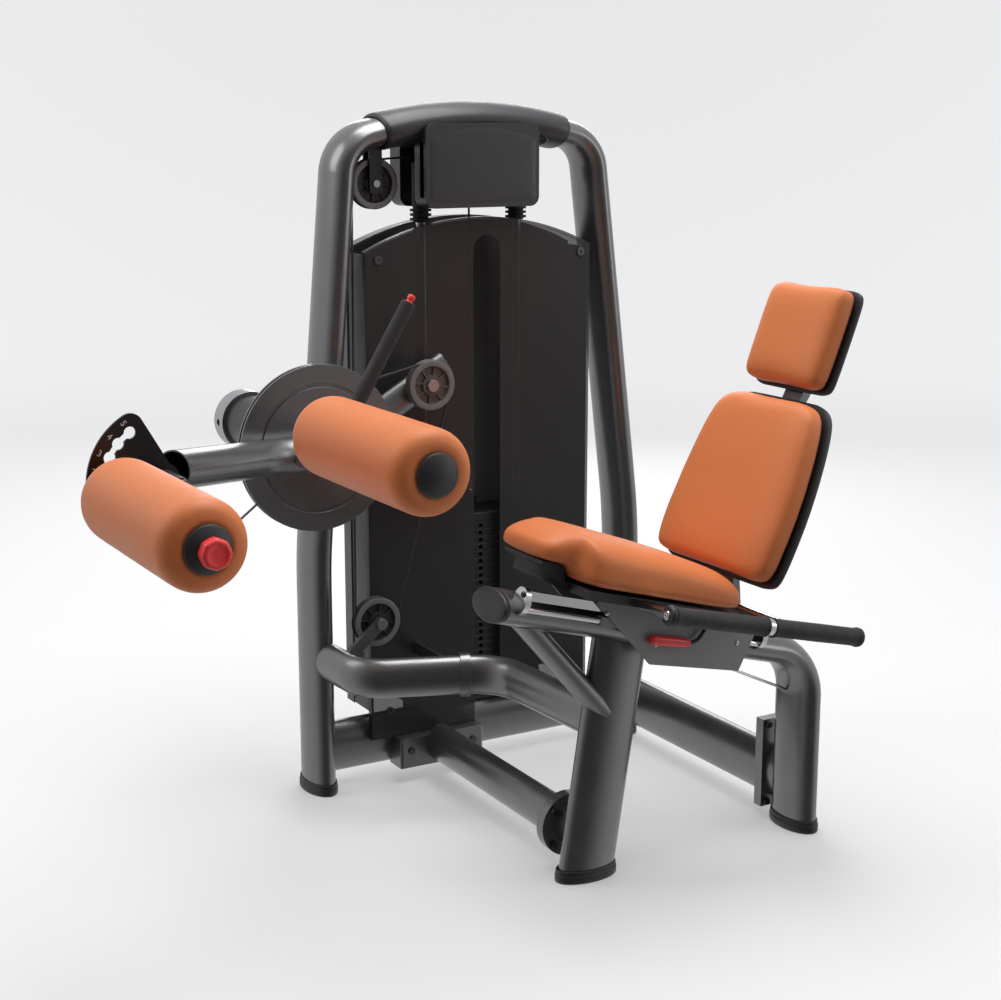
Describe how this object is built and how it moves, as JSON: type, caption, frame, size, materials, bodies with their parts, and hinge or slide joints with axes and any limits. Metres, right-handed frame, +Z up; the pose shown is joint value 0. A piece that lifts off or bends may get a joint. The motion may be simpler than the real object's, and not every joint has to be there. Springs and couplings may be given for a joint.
{
  "type": "leg extension machine",
  "caption": "Seated leg curl and extension machine: oval tube frame, shrouded weight stack, swinging padded ankle roller, shin hold-down roller and sliding padded seat with handles",
  "frame": {"origin": "on the floor under the middle of the weight tower, in the plane of its uprights", "axes": "+Z up, +X along the tower towards the backrest, -Y towards the seat"},
  "size_m": [1.5208, 1.253, 1.531],
  "materials": {
    "frame_paint": "satin metallic grey",
    "black_paint": "satin black",
    "black_plastic": "fine grain",
    "grey_plastic": "fine grain",
    "smoked_plastic": "smoked translucent",
    "housing_plastic": "fine grain",
    "polished_steel": "polished",
    "plain_steel": "zinc plated",
    "plate_grey": "satin dark grey",
    "stack_iron": "black painted",
    "black_rubber": "matt",
    "red_plastic": "semi gloss",
    "tan_vinyl": "fine grained vinyl over foam",
    "cable_steel": "black coated wire rope"
  },
  "bodies": {
    "frame": {"left_upright": "frame_paint", "right_upright": "frame_paint", "top_tube": "frame_paint", "base_tube": "frame_paint", "base_bracket": "frame_paint", "cross_tube": "frame_paint", "front_leg": "frame_paint", "rear_base_tube": "frame_paint", "seat_rail": "frame_paint", "rail_brace": "frame_paint", "guard_tube": "frame_paint", "pulley_hangers": "black_paint", "end_caps": "black_plastic", "frame_bolts": "plain_steel", "shroud_front": "smoked_plastic", "side_panels": "grey_plastic", "rear_panel": "grey_plastic", "top_cover": "housing_plastic", "pulley_housings": "housing_plastic", "guide_rods": "polished_steel", "rod_sleeves": "black_rubber", "stack_base": "black_paint", "fixed_plates": "stack_iron", "bearing_housing": "black_paint", "axle_and_collar": "plain_steel", "pulley_brackets": "frame_paint", "pulley_bolts": "plain_steel", "cable_run": "cable_steel", "slide_rail": "polished_steel"},
    "swing": {"swing_arm": "frame_paint", "cam_disc": "frame_paint", "cable_drum": "plain_steel", "sector_plate": "plate_grey"},
    "ankle_link": {"ankle_carrier": "black_paint"},
    "ankle_roller": {"ankle_pad": "tan_vinyl", "ankle_cap": "black_plastic"},
    "lock": {"lock_knob": "red_plastic"},
    "shin_link": {"shin_arm": "black_paint", "pad_lever": "black_paint"},
    "shin_roller": {"shin_pad": "tan_vinyl", "shin_cap": "black_plastic"},
    "button": {"lever_button": "red_plastic"},
    "stack": {"head_plate": "stack_iron", "lifted_plates": "stack_iron", "cable_drop": "cable_steel"},
    "pin": {"selector_pin": "red_plastic"},
    "upper_wheel": {"upper_pulley": "black_plastic"},
    "lower_wheel": {"lower_pulley": "black_plastic"},
    "corner_wheel": {"corner_pulley": "black_plastic"},
    "centre_wheel": {"centre_pulley": "black_plastic"},
    "seat": {"seat_carriage": "plate_grey", "seat_base": "black_plastic", "seat_pad": "tan_vinyl", "rest_shells": "black_plastic", "back_pad": "tan_vinyl", "head_pad": "tan_vinyl", "back_post": "black_paint", "handle_frame": "polished_steel", "hand_grips": "black_rubber"},
    "release": {"release_lever": "plain_steel"}
  },
  "joints": [
    {"name": "arm_swing", "type": "hinge", "parent": "frame", "child": "swing", "pos_m": [-0.4555, -0.17, 0.8174], "axis": [0, -1, 0], "range_deg": [0, 100]},
    {"name": "ankle_adjust", "type": "hinge", "parent": "swing", "child": "ankle_link", "pos_m": [-0.884, -0.45, 0.838], "axis": [0, 1, 0], "range_deg": [0, 60]},
    {"name": "ankle_roller_spin", "type": "hinge", "parent": "ankle_link", "child": "ankle_roller", "pos_m": [-0.99689, -0.69, 0.83307], "axis": [0, 1, 0], "continuous": true},
    {"name": "lock_pull", "type": "slide", "parent": "ankle_link", "child": "lock", "axis": [0, -1, 0], "range_m": [0, 0.015], "stiffness_N_per_m": 400, "springref_m": -0.02},
    {"name": "pad_adjust", "type": "hinge", "parent": "frame", "child": "shin_link", "pos_m": [-0.4555, -0.39, 0.8174], "axis": [0, 1, 0], "range_deg": [-10, 50]},
    {"name": "shin_roller_spin", "type": "hinge", "parent": "shin_link", "child": "shin_roller", "pos_m": [-0.577, -0.66, 0.905], "axis": [0, 1, 0], "continuous": true},
    {"name": "button_press", "type": "slide", "parent": "shin_link", "child": "button", "axis": [-0.5187, 0, -0.8549], "range_m": [0, 0.006], "stiffness_N_per_m": 300, "springref_m": -0.004},
    {"name": "stack_lift", "type": "slide", "parent": "frame", "child": "stack", "axis": [0, 0, 1], "range_m": [0, 0.176], "deforming": ["cable_drop"]},
    {"name": "pin_pull", "type": "slide", "parent": "stack", "child": "pin", "axis": [0, -1, 0], "range_m": [0, 0.07]},
    {"name": "upper_spin", "type": "hinge", "parent": "frame", "child": "upper_wheel", "pos_m": [-0.178, -0.125, 0.927], "axis": [0, -1, 0], "range_deg": [0, 205]},
    {"name": "lower_spin", "type": "hinge", "parent": "frame", "child": "lower_wheel", "pos_m": [-0.31, -0.11, 0.409], "axis": [0, -1, 0], "range_deg": [0, 205]},
    {"name": "corner_spin", "type": "hinge", "parent": "frame", "child": "corner_wheel", "pos_m": [-0.246, 0.005, 1.355], "axis": [0, -1, 0], "range_deg": [0, 205]},
    {"name": "centre_spin", "type": "hinge", "parent": "frame", "child": "centre_wheel", "pos_m": [-0.04, 0.02, 1.378], "axis": [0, -1, 0], "range_deg": [0, 255]},
    {"name": "seat_slide", "type": "slide", "parent": "frame", "child": "seat", "axis": [-0.9646, 0, 0.2639], "range_m": [0, 0.12]},
    {"name": "release_pull", "type": "hinge", "parent": "seat", "child": "release", "pos_m": [0.08, -0.798, 0.517], "axis": [0, 1, 0], "range_deg": [0, 12], "stiffness_Nm_per_rad": 8, "springref_deg": -11.46}
  ],
  "couplings": [
    {"joint": "stack_lift", "follows": "arm_swing", "m_per_rad": 0.1},
    {"joint": "upper_spin", "follows": "arm_swing", "ratio": 2},
    {"joint": "lower_spin", "follows": "arm_swing", "ratio": 2},
    {"joint": "corner_spin", "follows": "arm_swing", "ratio": 2},
    {"joint": "centre_spin", "follows": "arm_swing", "ratio": 2.5}
  ]
}
